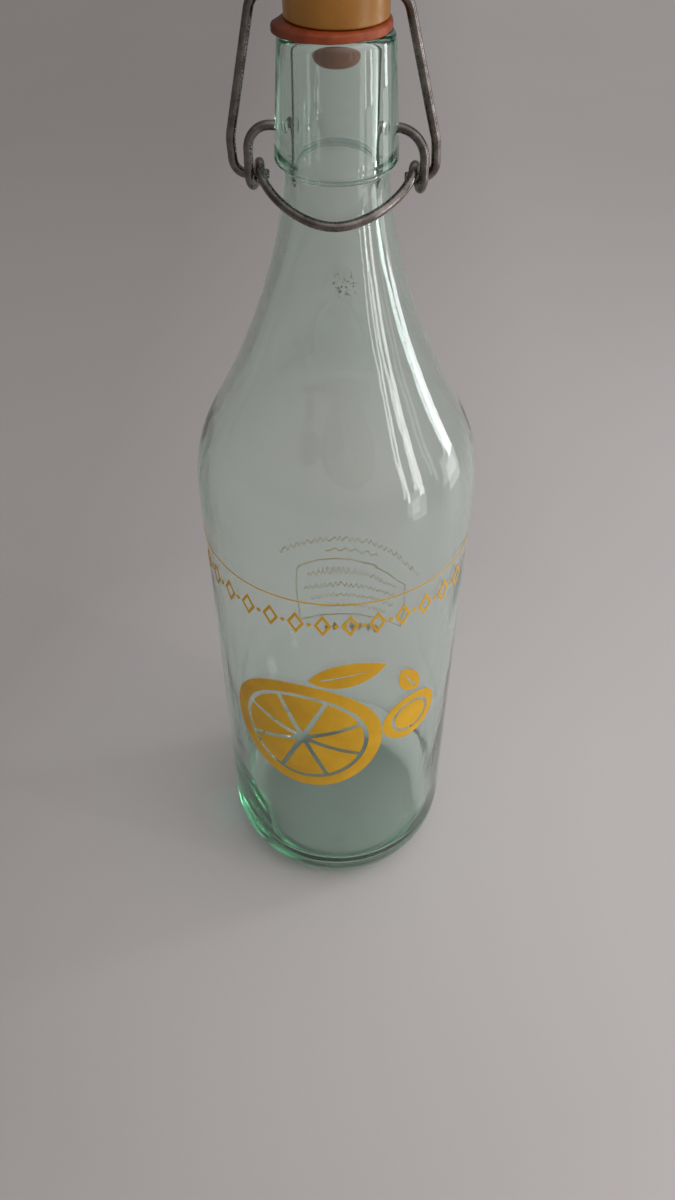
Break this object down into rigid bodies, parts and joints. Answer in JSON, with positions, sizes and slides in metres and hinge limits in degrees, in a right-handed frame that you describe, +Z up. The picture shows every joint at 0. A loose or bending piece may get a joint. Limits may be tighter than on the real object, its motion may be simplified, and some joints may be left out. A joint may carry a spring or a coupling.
{
  "type": "lever-stoppered glass bottle",
  "caption": "Round glass drink bottle with a long neck, closed by a plastic stopper and rubber gasket that a bail and an over-centre lever of bent wire press onto the rim.",
  "frame": {"origin": "on the table, under the middle of the bottle", "axes": "+Z up along the bottle's axis, -Y to the front, where the lever's handle hangs, +X to the right"},
  "size_m": [0.0854, 0.0854, 0.317],
  "materials": {
    "glass": "clear, pale green",
    "wire": "drawn, dulled by use",
    "stopper_plastic": "satin, ochre yellow",
    "gasket_rubber": "matt, orange red"
  },
  "bodies": {
    "bottle": {"glass_bottle": "glass"},
    "lever": {"lever_wire": "wire"},
    "bail": {"bail_wire": "wire"},
    "stopper_body": {"stopper": "stopper_plastic", "gasket": "gasket_rubber"}
  },
  "joints": [
    {"name": "lever_hinge", "type": "hinge", "parent": "bottle", "child": "lever", "pos_m": [0, 0, 0.2815], "axis": [-1, 0, 0], "range_deg": [0, 95]},
    {"name": "bail_hinge", "type": "hinge", "parent": "lever", "child": "bail", "pos_m": [0, 0.00103, 0.26974], "axis": [-1, 0, 0], "range_deg": [-71, 0]},
    {"name": "stopper_hinge", "type": "hinge", "parent": "bail", "child": "stopper_body", "pos_m": [0, 0, 0.3096], "axis": [-1, 0, 0], "range_deg": [-25, 0]}
  ],
  "couplings": [
    {"joint": "bail_hinge", "follows": "lever_hinge", "ratio": -0.74},
    {"joint": "stopper_hinge", "follows": "lever_hinge", "ratio": -0.26}
  ]
}
